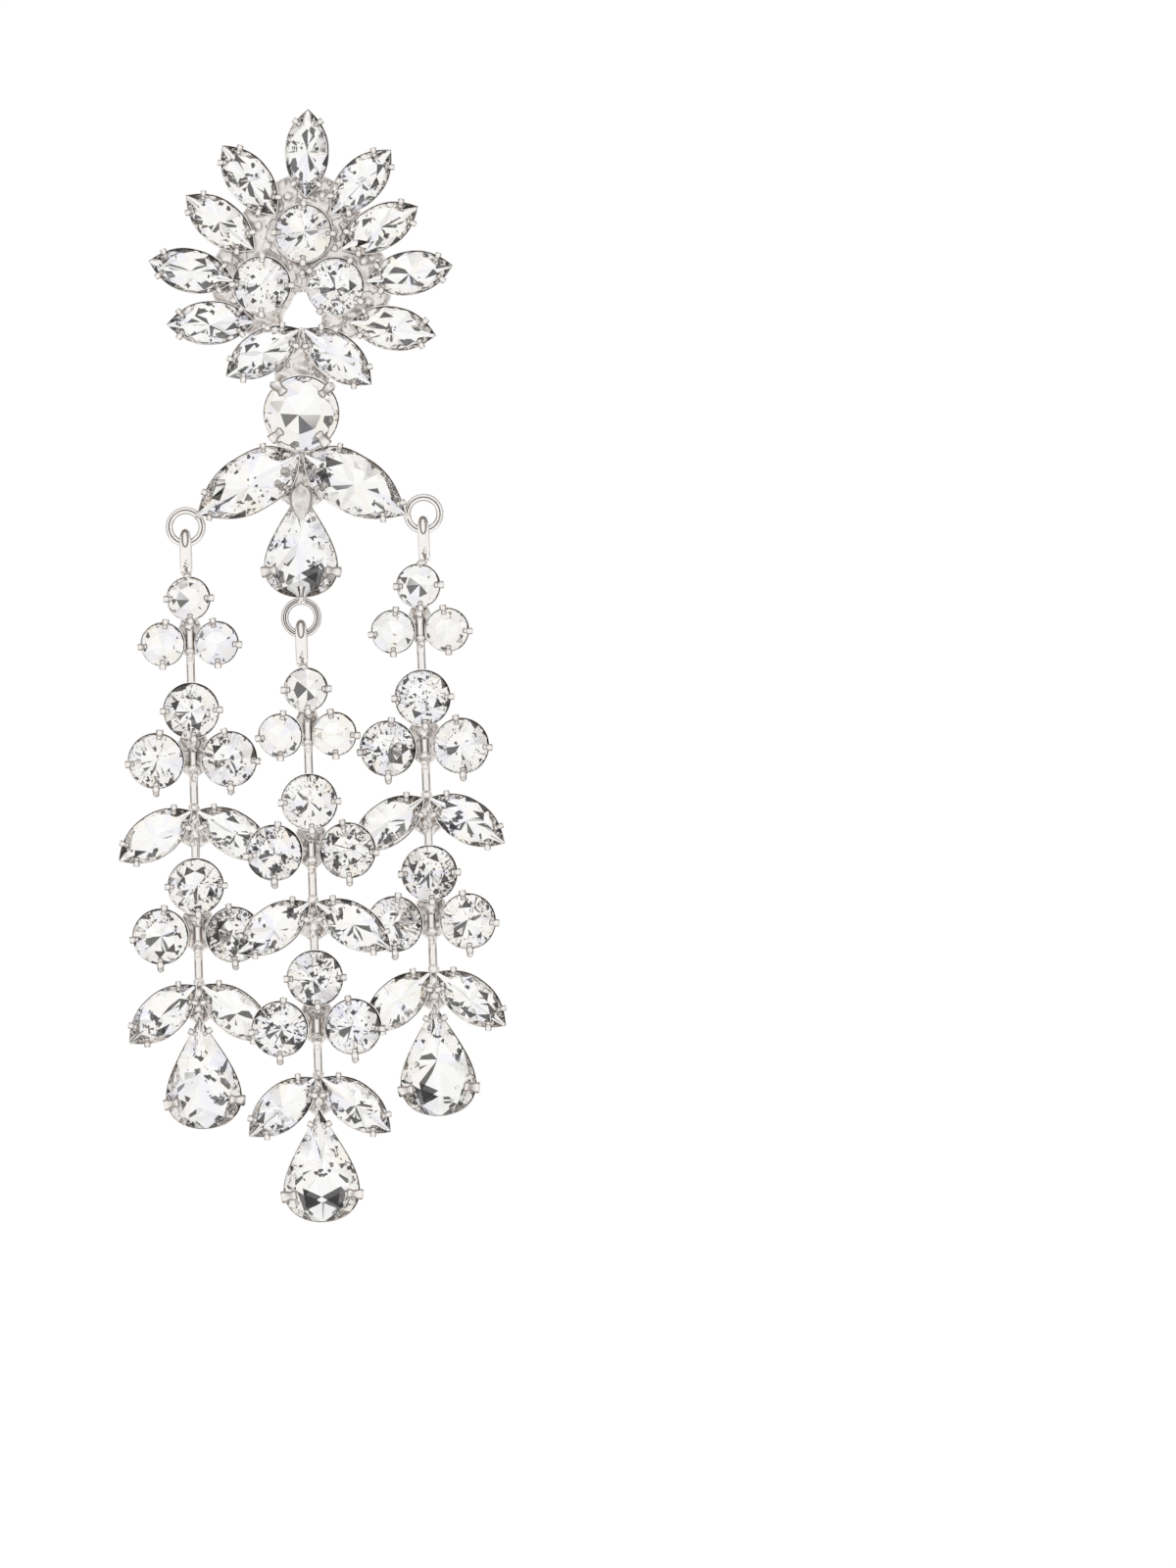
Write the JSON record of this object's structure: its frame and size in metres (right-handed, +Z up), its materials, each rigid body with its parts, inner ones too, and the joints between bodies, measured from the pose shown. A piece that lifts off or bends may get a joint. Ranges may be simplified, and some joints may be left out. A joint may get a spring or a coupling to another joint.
{
  "type": "chandelier earring",
  "caption": "Chandelier earring: a stone rosette on an ear post, a round connector, two wings and a pear, with long stone-set drops that swing on rings.",
  "frame": {"origin": "middle of the ear pad's back face, where the earring sits on the lobe", "axes": "+Z up, the post points to +Y and the stones face -Y"},
  "size_m": [0.0418, 0.0185, 0.1194],
  "materials": {
    "silver_tone_metal": "polished, slightly warm silver tone",
    "post_steel": "fine drawn",
    "clear_stone": "cut and foil backed"
  },
  "bodies": {
    "ear_piece": {"top_setting": "silver_tone_metal", "ear_post": "post_steel", "petal_stone_01": "clear_stone", "petal_stone_02": "clear_stone", "petal_stone_03": "clear_stone", "petal_stone_04": "clear_stone", "petal_stone_05": "clear_stone", "petal_stone_06": "clear_stone", "petal_stone_07": "clear_stone", "petal_stone_08": "clear_stone", "petal_stone_09": "clear_stone", "petal_stone_10": "clear_stone", "petal_stone_11": "clear_stone", "rosette_stone_1": "clear_stone", "rosette_stone_2": "clear_stone", "rosette_stone_3": "clear_stone", "connector_stone": "clear_stone", "wing_stone_left": "clear_stone", "wing_stone_right": "clear_stone", "top_pear_stone": "clear_stone"},
    "left_drop": {"left_drop_setting": "silver_tone_metal", "left_navette_upper_left": "clear_stone", "left_navette_upper_right": "clear_stone", "left_navette_lower_left": "clear_stone", "left_navette_lower_right": "clear_stone", "left_pear_stone": "clear_stone"},
    "centre_drop": {"centre_drop_setting": "silver_tone_metal", "centre_navette_upper_left": "clear_stone", "centre_navette_upper_right": "clear_stone", "centre_navette_lower_left": "clear_stone", "centre_navette_lower_right": "clear_stone", "centre_pear_stone": "clear_stone"},
    "right_drop": {"right_drop_setting": "silver_tone_metal", "right_navette_upper_left": "clear_stone", "right_navette_upper_right": "clear_stone", "right_navette_lower_left": "clear_stone", "right_navette_lower_right": "clear_stone", "right_pear_stone": "clear_stone"}
  },
  "joints": [
    {"name": "left_drop_swing", "type": "hinge", "parent": "ear_piece", "child": "left_drop", "pos_m": [-0.01256, -0.00095, -0.03024], "axis": [1, 0, 0], "range_deg": [0, 45]},
    {"name": "centre_drop_swing", "type": "hinge", "parent": "ear_piece", "child": "centre_drop", "pos_m": [0, -0.00448, -0.04005], "axis": [1, 0, 0], "range_deg": [-45, 0]},
    {"name": "right_drop_swing", "type": "hinge", "parent": "ear_piece", "child": "right_drop", "pos_m": [0.01301, -0.00095, -0.02882], "axis": [1, 0, 0], "range_deg": [0, 45]}
  ]
}
